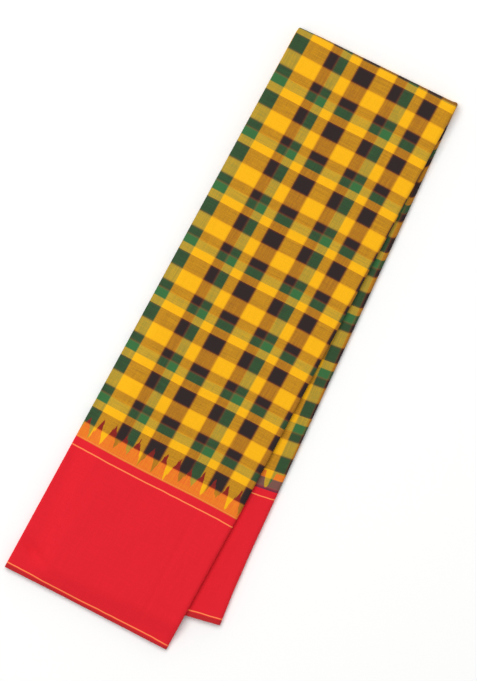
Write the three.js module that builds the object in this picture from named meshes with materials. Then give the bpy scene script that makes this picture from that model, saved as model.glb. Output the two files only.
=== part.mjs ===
// A handloom saree, folded lengthways into a flat strip and then once across, lying on a table.
//
// One cloth of 5600 x 1200 mm is halved five times along its length, which gives a strip of
// 32 layers about 176 mm wide. The strip is then folded once across, not quite square, so that
// the half below fans out to the right of the half above.
//
// Every point of the cloth is first placed in the strip's own measures:
//   across  mm from the top left corner, along the cross fold
//   along   mm from the cross fold, towards the free ends
//   height  mm above the table
// and toModel turns those into x, y and z, with y pointing from the free ends to the cross fold.

import * as THREE from 'three';
import { mergeVertices } from 'three/addons/utils/BufferGeometryUtils.js';

// Driving sizes

const CLOTH_WALL = 1.2;
const SEAM_GAP = 0.3;
const HALF_THICKNESS = 8.2;
const FOLD_DEPTH = 7;
const NOSE_DEPTH = 4.5;
const LIP_DEPTH = 1.3;
const LIPS_PER_HALF = 5;
const LEAF_STEP = 1.4;
const CHAMFER_SLOPE = 3;

// How far the upper half needs, past the edge of the lower one, to come down to the table.
const DRAPE_REACH = 26;
const DRAPE_MARGIN = 3;

// Where the red border begins, as a share of each half's length from the cross fold.
const UPPER_BORDER_SHARE = 0.757;
const LOWER_BORDER_SHARE = 0.748;

// The cross fold as seen from above: its own line isn't square to the strip.
const FOLD_LINE = [
  { share: 0, along: 0.4 },
  { share: 0.14, along: -1.3 },
  { share: 0.5, along: -3.8 },
  { share: 1, along: -7.1 },
];

// The long edges of each half, by share of its length from the cross fold, and its free end,
// by share of its width from the left.
const UPPER_HALF = {
  edges: [
    { share: 0, left: -0.1, right: 176.6 },
    { share: 0.25, left: -0.8, right: 177.2 },
    { share: 0.5, left: -1.6, right: 178.0 },
    { share: 0.75, left: -2.6, right: 178.7 },
    { share: 1, left: -3.4, right: 178.4 },
  ],
  end: [
    { share: 0, along: 615.3 },
    { share: 0.28, along: 613.9 },
    { share: 1, along: 611.7 },
  ],
};
const LOWER_HALF = {
  edges: [
    { share: 0, left: 0.1, right: 176.6 },
    { share: 0.5, left: 18, right: 193.9 },
    { share: 0.86, left: 31.5, right: 206.5 },
    { share: 0.94, left: 35, right: 210.2 },
    { share: 1, left: 38, right: 214.2 },
  ],
  end: [
    { share: 0, along: 585 },
    { share: 0.8, along: 572.4 },
    { share: 1, along: 564.8 },
  ],
};

// How many steps the solids take.
const UPPER_BODY_STEPS = 15;
const UPPER_BORDER_STEPS = 16;
const LOWER_BODY_STEPS = 8;
const LOWER_BORDER_STEPS = 5;
const FOLD_STEPS = 8;
const DRAPE_COLUMNS = 6;
const FLAT_COLUMNS = 3;
const NOSE_COLUMNS = 6;
const LEAST_HINGE = 12;

// Dyed colours of the cloth

const CHECKED_BODY = { color: 0xd9961f, roughness: 0.62, metalness: 0 };
const RED_BORDER = { color: 0xe22632, roughness: 0.5, metalness: 0 };
const HIDDEN_LAYERS = { color: 0x9c6a24, roughness: 0.7, metalness: 0 };

// Heights of the two halves

const LAYER_INSET = CLOTH_WALL + SEAM_GAP;
const LOWER_TOP = HALF_THICKNESS;
const UPPER_BOTTOM = LOWER_TOP + SEAM_GAP;
const UPPER_TOP = UPPER_BOTTOM + HALF_THICKNESS;

const { lerp, clamp, smoothstep } = THREE.MathUtils;

// Straight interpolation of a named column in a table whose rows run by share.
function readTable(table, share, column) {
  const last = table.length - 1;
  let row = 0;
  while (row < last - 1 && share > table[row + 1].share) row += 1;
  const from = table[row];
  const to = table[row + 1];
  const part = clamp((share - from.share) / (to.share - from.share), 0, 1);
  return lerp(from[column], to[column], part);
}

function shares(steps, from = 0, to = 1) {
  return Array.from({ length: steps + 1 }, (_, step) => lerp(from, to, step / steps));
}

function widthAt(half, share) {
  return readTable(half.edges, share, 'right') - readTable(half.edges, share, 'left');
}

// The plan of a half: a point some mm in from its left edge, at a share of its length.
function planPoint(half, inFromLeft, share) {
  const acrossShare = inFromLeft / widthAt(half, share);
  const foldAlong = readTable(FOLD_LINE, clamp(acrossShare, 0, 1), 'along');
  const endAlong = readTable(half.end, clamp(acrossShare, 0, 1), 'along');
  return {
    across: readTable(half.edges, share, 'left') + inFromLeft,
    along: lerp(foldAlong, endAlong, share),
  };
}

// The share of a half's length at which the straight part begins, past the round of the fold.
function straightShare(half) {
  const length = readTable(half.end, 0.5, 'along') - readTable(FOLD_LINE, 0.5, 'along');
  return FOLD_DEPTH / length;
}

// The lower half's left edge and free end at a place, which the upper half is draped over.
function lowerLeftEdge(along) {
  return readTable(LOWER_HALF.edges, along / readTable(LOWER_HALF.end, 0, 'along'), 'left');
}

function lowerEnd(across) {
  const left = readTable(LOWER_HALF.edges, 1, 'left');
  const share = clamp((across - left) / widthAt(LOWER_HALF, 1), 0, 1);
  return readTable(LOWER_HALF.end, share, 'along');
}

// How high the upper half's underside lies: on the lower half, and past its left edge and
// its free end down a soft slope to the table.
function supportHeight({ across, along }) {
  const pastLeft = Math.max(0, lowerLeftEdge(along) - across);
  const pastEnd = Math.max(0, along - lowerEnd(across) - DRAPE_MARGIN);
  const past = Math.hypot(pastLeft, pastEnd);
  return UPPER_BOTTOM * (1 - smoothstep(past, 0, DRAPE_REACH));
}

// The strip stands at stations: some in the upper half, some round the cross fold, and some in
// the lower half. A station knows the strip's width there, how far in from its left edge the
// upper half leaves the lower one, how far round the fold it is, and where it puts a point.
// A point is some mm in from the left edge, at a depth from the outer sheet's outer face.

function upperStation(share) {
  const edge = planPoint(UPPER_HALF, 0, share);
  return {
    width: widthAt(UPPER_HALF, share),
    overhang: lowerLeftEdge(edge.along) - edge.across,
    turn: 0,
    place: (inFromLeft, depth) => {
      const plan = planPoint(UPPER_HALF, inFromLeft, share);
      return { ...plan, height: supportHeight(plan) + HALF_THICKNESS - depth };
    },
  };
}

function lowerStation(share) {
  return {
    width: widthAt(LOWER_HALF, share),
    overhang: 0,
    turn: 1,
    place: (inFromLeft, depth) => ({
      ...planPoint(LOWER_HALF, inFromLeft, share),
      height: depth,
    }),
  };
}

// Round the fold each depth has its own half ellipse, from its height in the upper half to
// its height in the lower one.
function foldStation(turn) {
  const angle = turn * Math.PI;
  return {
    width: lerp(widthAt(UPPER_HALF, UPPER_START), widthAt(LOWER_HALF, LOWER_START), turn),
    overhang: 0,
    turn,
    place: (inFromLeft, depth) => {
      const above = planPoint(UPPER_HALF, inFromLeft, UPPER_START);
      const below = planPoint(LOWER_HALF, inFromLeft, LOWER_START);
      const top = UPPER_TOP - depth;
      const middle = (top + depth) / 2;
      const rise = (top - depth) / 2;
      const reach = (rise * FOLD_DEPTH) / (UPPER_TOP / 2);
      return {
        across: lerp(above.across, below.across, turn),
        along: lerp(above.along, below.along, turn) - reach * Math.sin(angle),
        height: middle + rise * Math.cos(angle),
      };
    },
  };
}

// The two pieces that meet at a seam each stop short of it by half the gap, as a share of
// a half's length.
const HALF_GAP = SEAM_GAP / 2 / UPPER_HALF.end[0].along;
const UPPER_START = straightShare(UPPER_HALF);
const LOWER_START = straightShare(LOWER_HALF);

const upperBorderStations = shares(
  UPPER_BORDER_STEPS, 1, UPPER_BORDER_SHARE + HALF_GAP,
).map(upperStation);
const upperBodyStations = shares(
  UPPER_BODY_STEPS, UPPER_BORDER_SHARE - HALF_GAP, UPPER_START + 2 * HALF_GAP,
).map(upperStation);
const foldStations = shares(FOLD_STEPS).map(foldStation);
const lowerBodyStations = shares(
  LOWER_BODY_STEPS, LOWER_START + 2 * HALF_GAP, LOWER_BORDER_SHARE - HALF_GAP,
).map(lowerStation);
const lowerBorderStations = shares(
  LOWER_BORDER_STEPS, LOWER_BORDER_SHARE + HALF_GAP, 1,
).map(lowerStation);

// The closed surface of a lattice of points, columns x rows x stations. Only the outside is
// made, so the points of the inside are never asked for.
function latticeSolid(columns, rows, stations, pointAt) {
  const positions = [];
  const corner = (column, row, station) => positions.push(...toModel(pointAt(column, row, station)));
  const patch = (uSteps, vSteps, at) => {
    for (let u = 0; u < uSteps; u += 1) {
      for (let v = 0; v < vSteps; v += 1) {
        corner(...at(u, v));
        corner(...at(u + 1, v));
        corner(...at(u + 1, v + 1));
        corner(...at(u, v));
        corner(...at(u + 1, v + 1));
        corner(...at(u, v + 1));
      }
    }
  };
  patch(columns, stations, (c, s) => [c, 0, s]);
  patch(stations, columns, (s, c) => [c, rows, s]);
  patch(stations, rows, (s, r) => [0, r, s]);
  patch(rows, stations, (r, s) => [columns, r, s]);
  patch(rows, columns, (r, c) => [c, r, 0]);
  patch(columns, rows, (c, r) => [c, r, stations]);
  const geometry = new THREE.BufferGeometry();
  geometry.setAttribute('position', new THREE.Float32BufferAttribute(positions, 3));
  const merged = mergeVertices(geometry, 1e-4);
  merged.computeVertexNormals();
  return merged;
}

// Where the model's origin lies: under the middle of the whole folded saree.
const MIDDLE_ACROSS = 105.4;
const MIDDLE_ALONG = 304.16;

function toModel({ across, along, height }) {
  return [across - MIDDLE_ACROSS, MIDDLE_ALONG - along, height];
}

// The columns of a station, in mm in from the left edge: close together over the slope on the
// left, wide apart over the flat, and up to where the fold on the right begins to turn.
function columnPlaces({ width, overhang }) {
  const hinge = Math.max(LEAST_HINGE, overhang);
  return [
    ...shares(DRAPE_COLUMNS, 0, hinge),
    ...shares(FLAT_COLUMNS, hinge, width - NOSE_DEPTH).slice(1),
  ];
}

// The fold down the right side of a half is half an ellipse, from its top sheet to its bottom
// sheet. The inset moves it inwards, for the inner face of the wall and for the layers.
function nosePoint({ width }, inset, turn) {
  const angle = turn * Math.PI;
  return {
    inFromLeft: width - NOSE_DEPTH + (NOSE_DEPTH - inset) * Math.sin(angle),
    depth: HALF_THICKNESS / 2 - (HALF_THICKNESS / 2 - inset) * Math.cos(angle),
  };
}

// A panel is a wall that lies flat from the left edge and turns down round the right side.
function panelPath(station, inset, withNose) {
  const flat = columnPlaces(station).map((inFromLeft) => ({ inFromLeft, depth: inset }));
  if (!withNose) return flat;
  const nose = shares(NOSE_COLUMNS).slice(1).map((turn) => nosePoint(station, inset, turn));
  return [...flat, ...nose];
}

// A panel whose face is the outer sheet, which goes over the top, round the fold and under.
function outerPanel(stations, withNose) {
  const paths = stations.map((station) => [
    panelPath(station, 0, withNose),
    panelPath(station, CLOTH_WALL, withNose),
  ]);
  return latticeSolid(paths[0][0].length - 1, 1, stations.length - 1, (column, row, s) => {
    const { inFromLeft, depth } = paths[s][row][column];
    return stations[s].place(inFromLeft, depth);
  });
}

// A panel whose face is the lower half's upper side. Its depth counts from that side down.
function innerPanel(stations) {
  const paths = stations.map((station) => [
    panelPath(station, CLOTH_WALL, true),
    panelPath(station, 0, true),
  ]);
  return latticeSolid(paths[0][0].length - 1, 1, stations.length - 1, (column, row, s) => {
    const { inFromLeft, depth } = paths[s][row][column];
    return stations[s].place(inFromLeft, LOWER_TOP - depth);
  });
}

// The hidden layers: on the left their folds stand out as lips with grooves between them, and
// at the free ends their selvedges stand out as leaves. Rows run from one lip's groove to its
// crest to the next groove, from the outer sheet inwards.
function foldedLayers(stations) {
  const rows = 2 * LIPS_PER_HALF;
  const last = stations.length - 1;
  const columns = columnPlaces(stations[0]).length - 1;
  const isGroove = (row) => row % 2 === 0;
  return latticeSolid(columns, rows, last, (column, row, s) => {
    const station = stations[s];
    const depth = lerp(LAYER_INSET, HALF_THICKNESS - LAYER_INSET * station.turn, row / rows);
    let inFromLeft = columnPlaces(station)[column];
    if (column === 0) inFromLeft = isGroove(row) ? LIP_DEPTH : 0;
    if (column === columns) inFromLeft = station.width - layersInset(depth);
    const point = station.place(inFromLeft, depth);
    if (isGroove(row) && (s === 0 || s === last)) point.along -= LEAF_STEP;
    return point;
  });
}

// How far the layers stay in from the strip's right side, inside the fold of the panels, and
// past that fold's end a little further, down a chamfer.
function layersInset(depth) {
  const middle = HALF_THICKNESS / 2;
  const rise = Math.min(1, Math.abs(depth - middle) / (middle - LAYER_INSET));
  const pastFold = Math.max(0, depth - (HALF_THICKNESS - LAYER_INSET));
  const inFold = NOSE_DEPTH - (NOSE_DEPTH - LAYER_INSET) * Math.sqrt(1 - rise * rise);
  return inFold + CHAMFER_SLOPE * pastFold;
}

function clothMesh(name, geometry, look) {
  const mesh = new THREE.Mesh(geometry, new THREE.MeshStandardMaterial(look));
  mesh.name = name;
  return mesh;
}

const layerStations = [
  ...upperBorderStations,
  ...upperBodyStations.slice(1),
  ...foldStations.slice(1, -1),
  ...lowerBodyStations,
  ...lowerBorderStations.slice(1),
];

const saree = new THREE.Group();
saree.name = 'saree';
saree.add(
  clothMesh('upper_border_panel', outerPanel(upperBorderStations, true), RED_BORDER),
  clothMesh('upper_body_panel', outerPanel(upperBodyStations, true), CHECKED_BODY),
  clothMesh('cross_fold_panel', outerPanel(foldStations, true), CHECKED_BODY),
  clothMesh('under_body_panel', outerPanel(lowerBodyStations, false), CHECKED_BODY),
  clothMesh('under_border_panel', outerPanel(lowerBorderStations, false), RED_BORDER),
  clothMesh('lower_body_panel', innerPanel(lowerBodyStations), CHECKED_BODY),
  clothMesh('lower_border_panel', innerPanel(lowerBorderStations), RED_BORDER),
  clothMesh('folded_layers', foldedLayers(layerStations), HIDDEN_LAYERS),
);

export default saree;
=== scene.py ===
# %% [markdown]
# # A folded handloom saree
# The real thing is one cloth, 5.6 m long and 1.2 m wide, with a plain red border along each edge.
# It is halved five times along its length into a strip of 32 layers, and the strip is folded once
# across. It could be made as a block with a picture on it, but its edges would look wrong from the
# side. Here the cloth is modelled as it is folded: every layer is a thin sheet that turns round its
# neighbours, and its pattern is woven in its own flat measures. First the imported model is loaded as
# a fixed frame. Everything that follows lies in it.

# %% Load the frame
import math

import bpy
import numpy as np
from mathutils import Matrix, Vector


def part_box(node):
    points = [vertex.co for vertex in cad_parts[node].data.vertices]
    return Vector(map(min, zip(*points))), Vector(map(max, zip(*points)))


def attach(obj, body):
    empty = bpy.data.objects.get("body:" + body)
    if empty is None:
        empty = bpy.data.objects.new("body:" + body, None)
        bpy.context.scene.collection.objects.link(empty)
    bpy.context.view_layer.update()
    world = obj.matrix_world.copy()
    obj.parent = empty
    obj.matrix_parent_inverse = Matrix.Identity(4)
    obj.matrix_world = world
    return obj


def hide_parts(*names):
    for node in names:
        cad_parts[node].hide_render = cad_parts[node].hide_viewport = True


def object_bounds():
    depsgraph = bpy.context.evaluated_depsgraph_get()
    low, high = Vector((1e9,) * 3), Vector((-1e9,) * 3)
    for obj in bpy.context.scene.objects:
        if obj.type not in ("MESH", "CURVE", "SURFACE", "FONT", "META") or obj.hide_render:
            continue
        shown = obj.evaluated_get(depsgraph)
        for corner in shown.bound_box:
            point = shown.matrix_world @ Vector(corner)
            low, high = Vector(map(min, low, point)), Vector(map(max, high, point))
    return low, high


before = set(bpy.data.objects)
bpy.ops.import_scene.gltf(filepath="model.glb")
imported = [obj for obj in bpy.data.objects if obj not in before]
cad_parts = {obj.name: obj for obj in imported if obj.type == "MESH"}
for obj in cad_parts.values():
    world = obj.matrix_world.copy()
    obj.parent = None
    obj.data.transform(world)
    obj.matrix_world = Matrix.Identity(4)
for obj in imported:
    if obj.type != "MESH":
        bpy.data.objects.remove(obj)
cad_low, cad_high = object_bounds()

MM = 0.001
print("frame box in mm", [round(v / MM, 1) for v in (*cad_low, *cad_high)])


# %% [markdown]
# An operator acts on all that is selected, and the frame arrives selected, so everything is
# deselected before a new piece is added.

# %% Start with nothing selected
def deselect_all():
    bpy.ops.object.select_all(action="DESELECT")


deselect_all()
print("selected:", len(bpy.context.selected_objects))

# %% [markdown]
# ## The camera
# The photo looks straight down at the cloth, turned so that the strip runs from the lower left to
# the upper right. A long lens high above shows the strip without distortion, its sides no further
# in than its top. One pixel of the 477 x 681 photo is about one millimetre on the top of the cloth,
# and the long side sees 680 mm.

# %% Camera
PHOTO_LONG_SIDE = 680
SENSOR = 36.0
LENS = 300.0
STRIP_TURN = math.radians(28.3)
CAMERA_CENTRE = (-10.0, -0.9)

camera_height = PHOTO_LONG_SIDE * LENS / SENSOR * MM + cad_high.z
camera_data = bpy.data.cameras.new("photo_camera")
camera_data.sensor_width = SENSOR
camera_data.lens = LENS
camera = bpy.data.objects.new("photo_camera", camera_data)
camera.location = (CAMERA_CENTRE[0] * MM, CAMERA_CENTRE[1] * MM, camera_height)
camera.rotation_euler = (0, 0, STRIP_TURN)
bpy.context.scene.collection.objects.link(camera)
bpy.context.scene.camera = camera
print("camera height in m", round(camera_height, 3))

# %% [markdown]
# ## The plan of the strip
# Seen from above, each half of the strip is a long shape whose edges aren't quite straight or
# parallel. A maker would measure it from the cross fold, so the tables give where the edges lie by
# share of the length, in mm: `across` from the top left corner, `along` from the cross fold.
# They are the same tables as the solids', because the cloth has to lie where they are.

# %% Tables of the plan
FOLD_LINE = {"share": (0, 0.14, 0.5, 1), "along": (0.4, -1.3, -3.8, -7.1)}
UPPER = {
    "edges": {
        "share": (0, 0.25, 0.5, 0.75, 1),
        "left": (-0.1, -0.8, -1.6, -2.6, -3.4),
        "right": (176.6, 177.2, 178.0, 178.7, 178.4),
    },
    "end": {"share": (0, 0.28, 1), "along": (615.3, 613.9, 611.7)},
}
LOWER = {
    "edges": {
        "share": (0, 0.5, 0.86, 0.94, 1),
        "left": (0.1, 18, 31.5, 35, 38),
        "right": (176.6, 193.9, 206.5, 210.2, 214.2),
    },
    "end": {"share": (0, 0.8, 1), "along": (585, 572.4, 564.8)},
}
MIDDLE_ACROSS = 105.4
MIDDLE_ALONG = 304.16


def read(table, column, share):
    return np.interp(share, table["share"], table[column])


def width_at(half, share):
    return read(half["edges"], "right", share) - read(half["edges"], "left", share)


def plan(half, inside, share):
    part = np.clip(inside / width_at(half, share), 0, 1)
    across = read(half["edges"], "left", share) + inside
    along = (1 - share) * read(FOLD_LINE, "along", part) + share * read(half["end"], "along", part)
    return across, along


print("strip width in mm", round(float(width_at(UPPER, 0)), 1), round(float(width_at(UPPER, 1)), 1))

# %% [markdown]
# ## Heights
# The frame says how thick each half is. The upper half lies on the lower one, and past the lower
# one's left edge and free end it sinks to the table in a soft slope.

# %% Heights and the slope to the table
HALF_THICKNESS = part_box("lower_body_panel")[1].z / MM
STACK_THICKNESS = cad_high.z / MM
UPPER_BOTTOM = STACK_THICKNESS - HALF_THICKNESS
DRAPE_REACH = 26
DRAPE_MARGIN = 7


def smooth(value, start, end):
    part = np.clip((value - start) / (end - start), 0, 1)
    return part * part * (3 - 2 * part)


def support_height(across, along):
    lower_share = along / LOWER["end"]["along"][0]
    past_left = np.maximum(0, read(LOWER["edges"], "left", lower_share) - across)
    end_share = (across - LOWER["edges"]["left"][-1]) / width_at(LOWER, 1)
    past_end = np.maximum(0, along - read(LOWER["end"], "along", end_share) - DRAPE_MARGIN)
    return UPPER_BOTTOM * (1 - smooth(np.hypot(past_left, past_end), 0, DRAPE_REACH))


print("thickness of a half and of all in mm", round(HALF_THICKNESS, 2), round(STACK_THICKNESS, 2))

# %% [markdown]
# ## Creases
# Pressed cloth isn't a mirror. A lengthwise crease runs down the red border, its free end sinks a
# little, its corner at the lower left curls down over a bent crease, and soft swells lie between.
# Each crease is a trough or a ridge, listed one by one: from one point to another, with its depth and
# width in mm. The last rows give the half below similar ones.

# %% Creases and swells
CREASES = [
    {"from": (140, 466), "to": (141, 606), "rise": -0.6, "width": 2.2},
    {"from": (-10, 571), "to": (18, 590), "rise": -2.2, "width": 4.5},
    {"from": (6, 583), "to": (54, 603), "rise": -1.8, "width": 4.5},
    {"from": (-12, 615), "to": (190, 612), "rise": -1.5, "width": 6.0},
    {"from": (32, 486), "to": (29, 560), "rise": -1.6, "width": 6.5},
    {"from": (148, 575), "to": (174, 580), "rise": -1.1, "width": 5.0},
    {"from": (164, 500), "to": (166, 552), "rise": -0.5, "width": 4.0},
    {"from": (3, 478), "to": (6, 498), "rise": -0.9, "width": 3.5},
    {"from": (88, 20), "to": (90, 440), "rise": -0.18, "width": 4.0},
    {"from": (45, 60), "to": (60, 250), "rise": 0.16, "width": 9.0},
    {"from": (120, 180), "to": (135, 400), "rise": 0.18, "width": 10.0},
    {"from": (186, 430), "to": (200, 560), "rise": -0.3, "width": 4.0},
    {"from": (176, 200), "to": (190, 380), "rise": 0.2, "width": 6.0},
]
SWELLS = [
    {"rise": 0.16, "across": 61, "along": 93, "shift": 0.4},
    {"rise": 0.10, "across": 37, "along": -54, "shift": 1.9},
    {"rise": 0.06, "across": -23, "along": 31, "shift": 3.1},
]
CREASE_TIP = 0.08
CREASE_ROUND = 0.7


def relief(across, along, spread=1.0):
    height = np.zeros(np.broadcast(across, along).shape)
    for crease in CREASES:
        start = np.array(crease["from"], float)
        run = np.array(crease["to"], float) - start
        part = np.clip(((across - start[0]) * run[0] + (along - start[1]) * run[1]) / (run @ run), 0, 1)
        away = np.hypot(across - start[0] - part * run[0], along - start[1] - part * run[1])
        fade = np.sin(np.pi * (CREASE_TIP + (1 - 2 * CREASE_TIP) * part)) ** CREASE_ROUND
        height = height + crease["rise"] * fade * np.exp(-((away / crease["width"] / spread) ** 2))
    for swell in SWELLS:
        wave = across / swell["across"] + along / swell["along"]
        height = height + swell["rise"] * np.sin(2 * np.pi * wave + swell["shift"])
    return height


print("creases:", len(CREASES), "swells:", len(SWELLS))

# %% [markdown]
# ## Where a point of the cloth lies
# Any point of the strip is some mm inside its left edge, at some depth below its outer sheet. These
# three functions place it: in the half on top, in the half below, and round the cross fold between
# them, where each depth turns on its own half ellipse. The fold's right corner sticks out a little,
# as in the photo. The creases fade and widen with depth, so the layers never cross, and the sheet
# on the table stays flat. The first hidden layer stays `CLEAR_OF_OUTER` mm inside.

# %% The three stretches of the strip
FOLD_DEPTH = 7
CORNER = 1.6
CORNER_FROM = 0.96
CREASE_FADE = 4
CLEAR_OF_OUTER = 0.75
INNER_SPREAD = 0.6
BODY_START = FOLD_DEPTH / (read(UPPER["end"], "along", 0.5) - read(FOLD_LINE, "along", 0.5))
LOWER_START = FOLD_DEPTH / (read(LOWER["end"], "along", 0.5) - read(FOLD_LINE, "along", 0.5))


def place_upper(inside, depth, share):
    across, along = plan(UPPER, inside, share)
    top_share = 1 - depth / HALF_THICKNESS
    height = support_height(across, along) + HALF_THICKNESS - depth
    fade = smooth(share, BODY_START, CREASE_FADE * BODY_START)
    spread = 1 + INNER_SPREAD * np.clip(depth / CLEAR_OF_OUTER, 0, 1)
    return across, along, height + fade * top_share * relief(across, along, spread)


def place_lower(inside, depth, share):
    across, along = plan(LOWER, inside, share)
    fade = smooth(share, LOWER_START, CREASE_FADE * LOWER_START)
    return across, along, depth + fade * depth / HALF_THICKNESS * relief(across, along)


def place_fold(inside, depth, turn):
    above = plan(UPPER, inside, BODY_START)
    below = plan(LOWER, inside, LOWER_START)
    top = STACK_THICKNESS - depth
    rise = (top - depth) / 2
    reach = rise * FOLD_DEPTH / (STACK_THICKNESS / 2)
    across = (1 - turn) * above[0] + turn * below[0]
    corner = smooth(inside / width_at(UPPER, BODY_START), CORNER_FROM, 1.0)
    along = (1 - turn) * above[1] + turn * below[1]
    along = along - (reach + CORNER * corner) * np.sin(np.pi * turn)
    return across, along, (top + depth) / 2 + rise * np.cos(np.pi * turn)


print("the straight part starts at share", round(float(BODY_START), 4), round(float(LOWER_START), 4))

# %% [markdown]
# ## The cloth's own measures
# A woven pattern belongs to the flat cloth, so each point also gets flat measures, kept as its UV
# map: `c` runs along the 5.6 m length and `v` from selvedge to selvedge, both in metres. On the loom
# the stripes weren't beaten equally hard, so the repeats are a little longer or shorter than the
# 60.7 mm of the plan. The table says where each repeat begins on the top sheet, and the UV map
# takes up the difference, so the dyed pattern itself can stay regular. Just above the first repeat,
# at the cross fold, the green stripe is almost left out, so that black follows yellow round the
# fold. A short table gives these few rows as they lie, and as the sett counts them, and another
# does so for the last rows, down to the first thin line of the border.

# %% Flat measures
REPEAT = 60.7
REPEAT_STARTS = (6.75, 69.75, 129.5, 191.75, 251.5, 312.0, 372.3, 431.75)
ROW_RISE = 2.0
ROW_RISE_FROM, ROW_RISE_TO = 55, 150
WEFT_SKEW = 0.0158
SKEW_CENTRE = 30
LOWER_LENGTH = 572
FOLD_ROWS = {"lying": (-8.4, -7.9, 0), "counted": (-17.9, -8.4, 0)}
LAST_ROWS = {"lying": (449.25, 465.4, 474.4), "counted": (448.45, 465.9, 474.3)}
SKIPPED = FOLD_ROWS["lying"][0] - FOLD_ROWS["counted"][0]
LOWER_ROWS = {"share": (0, 0.76, 1), "row": (-0.5, -435.2, -578.0)}
LOWER_COLUMN_SHIFT = 2.9


def woven_row(row):
    first, last = REPEAT_STARTS[0], LAST_ROWS["lying"][-1]
    lying = REPEAT_STARTS + LAST_ROWS["lying"]
    counted = [first + count * REPEAT for count in range(len(REPEAT_STARTS))]
    counted = np.interp(row, lying, counted + list(LAST_ROWS["counted"]))
    before = np.interp(row - first, FOLD_ROWS["lying"], FOLD_ROWS["counted"])
    before = before + np.minimum(0, row - first - FOLD_ROWS["lying"][0])
    return counted + before + np.maximum(0, row - last)


def row_upper(across, along):
    return along + ROW_RISE * smooth(across, ROW_RISE_FROM, ROW_RISE_TO)


def row_lower(share):
    return read(LOWER_ROWS, "row", share)


def column_skew(distance):
    return WEFT_SKEW * (distance - SKEW_CENTRE)


print("repeats on the top sheet:", len(REPEAT_STARTS), "skipped at the fold in mm:", round(SKIPPED, 1))

# %% [markdown]
# Round the cross fold the outer sheet is longer than the sheets inside it. The arc of its half
# ellipse is measured once, and each depth takes its share of the way from the row above the fold to
# the row below it.

# %% Rows round the cross fold
ARC_STEPS = 200
arc_turns = np.linspace(0, 1, ARC_STEPS + 1)
arc_points = np.stack([
    FOLD_DEPTH * np.sin(np.pi * arc_turns),
    STACK_THICKNESS / 2 * np.cos(np.pi * arc_turns),
])
arc_lengths = np.concatenate([[0], np.cumsum(np.hypot(*np.diff(arc_points, axis=1)))])
OUTER_ARC = arc_lengths[-1]


def row_below_fold(inside, depth):
    outer = row_upper(*plan(UPPER, inside, BODY_START)) - OUTER_ARC
    return outer + depth / HALF_THICKNESS * (row_lower(LOWER_START) - outer)


def row_fold(inside, depth, turn):
    start = row_upper(*plan(UPPER, inside, BODY_START))
    arc_share = np.interp(turn, arc_turns, arc_lengths / OUTER_ARC)
    return start + arc_share * (row_below_fold(inside, depth) - start)


def row_under(inside, depth, share):
    part = np.clip((share - LOWER_START) / (1 - LOWER_START), 0, 1)
    offset = row_below_fold(inside, depth) - row_lower(LOWER_START)
    return row_lower(share) + offset * (1 - part) ** 2


print("the outer sheet's arc round the fold in mm", round(float(OUTER_ARC), 1))

# %% [markdown]
# ## Stretches of the strip
# A stretch is a run of stations along the strip. At each one a path across the cloth becomes points
# and flat measures. The seam between body and border follows one thread of the cloth, so on the
# upper half it is the row where the red warp begins: `place` runs from 0 at the cross fold to 1 at
# that row and 2 at the selvedge, and both pieces share the points of their seam.

# %% Stations
RED_ROW = 466.0
UPPER_BORDER_SHARE = 0.757
LOWER_BORDER_SHARE = 0.752


def red_share(inside):
    part = np.clip(inside / width_at(UPPER, UPPER_BORDER_SHARE), 0, 1)
    fold, end = read(FOLD_LINE, "along", part), read(UPPER["end"], "along", part)
    row = RED_ROW - ROW_RISE * smooth(inside, ROW_RISE_FROM, ROW_RISE_TO)
    return (row - fold) / (end - fold)


def inside_of(path, width):
    return np.where(path["from_right"] > 0, width - path["offset"], path["offset"])


def column_of(path, width):
    return path["run"] + path["widths"] * width


def upper_station(path, place):
    near_share = float(np.interp(place, (0, 1, 2), (BODY_START, UPPER_BORDER_SHARE, 1)))
    width = width_at(UPPER, near_share)
    inside = inside_of(path, width)
    red = red_share(inside)
    if place <= 1:
        share = BODY_START + (red - BODY_START) * place
    else:
        share = red + (1 - red) * (place - 1)
    across, along, height = place_upper(inside, path["depth"], share)
    column = column_of(path, width) + read(UPPER["edges"], "left", share) + column_skew(along)
    return (across, along, height), (column, woven_row(row_upper(across, along)))


def fold_station(path, turn):
    width = (1 - turn) * width_at(UPPER, BODY_START) + turn * width_at(LOWER, LOWER_START)
    inside = inside_of(path, width)
    distance = (1 - turn) * plan(UPPER, inside, BODY_START)[1] + turn * FOLD_DEPTH
    column = column_of(path, width) + column_skew(distance)
    row = row_fold(inside, path["depth"], turn)
    return place_fold(inside, path["depth"], turn), (column, woven_row(row))


def lower_station(path, share):
    width = width_at(LOWER, share)
    inside = inside_of(path, width)
    column = column_of(path, width) + column_skew(LOWER_LENGTH * share)
    row = row_under(inside, path["depth"], share)
    return place_lower(inside, path["depth"], share), (column, woven_row(row))


print("the red row lies at share", round(float(red_share(0.0)), 4), round(float(red_share(176.0)), 4))

# %% [markdown]
# ## How the cloth was folded
# Halving a strip five times puts its 32 stretches in a fixed order. The list below folds the right
# half over the left one, as hands do, until one column is left. The last fold wraps all the others
# on the right. On the left there are five noses or ends, each half as thick as the one above it.

# %% The order of the layers
HALVINGS = 5


def layer_order(halvings):
    columns = [[stretch] for stretch in range(2 ** halvings)]
    while len(columns) > 1:
        middle = len(columns) // 2
        left, right = columns[:middle], columns[middle:][::-1]
        columns = [below + above[::-1] for below, above in zip(left, right)]
    return columns[0][::-1]


order = layer_order(HALVINGS)
LAYERS = len(order)
print("stretches from the top down:", order)

# %% [markdown]
# ## Paths across the strip
# A path lists points by where they stand: `offset` mm in from the left or the right edge, at a
# `depth` below the outer sheet, and how far along the flat cloth they are. A folded edge is half an
# ellipse, its points and its arc length worked out once.

# %% Half ellipses and path rows
PATH_COLUMNS = ("from_right", "offset", "depth", "widths", "run")


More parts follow.
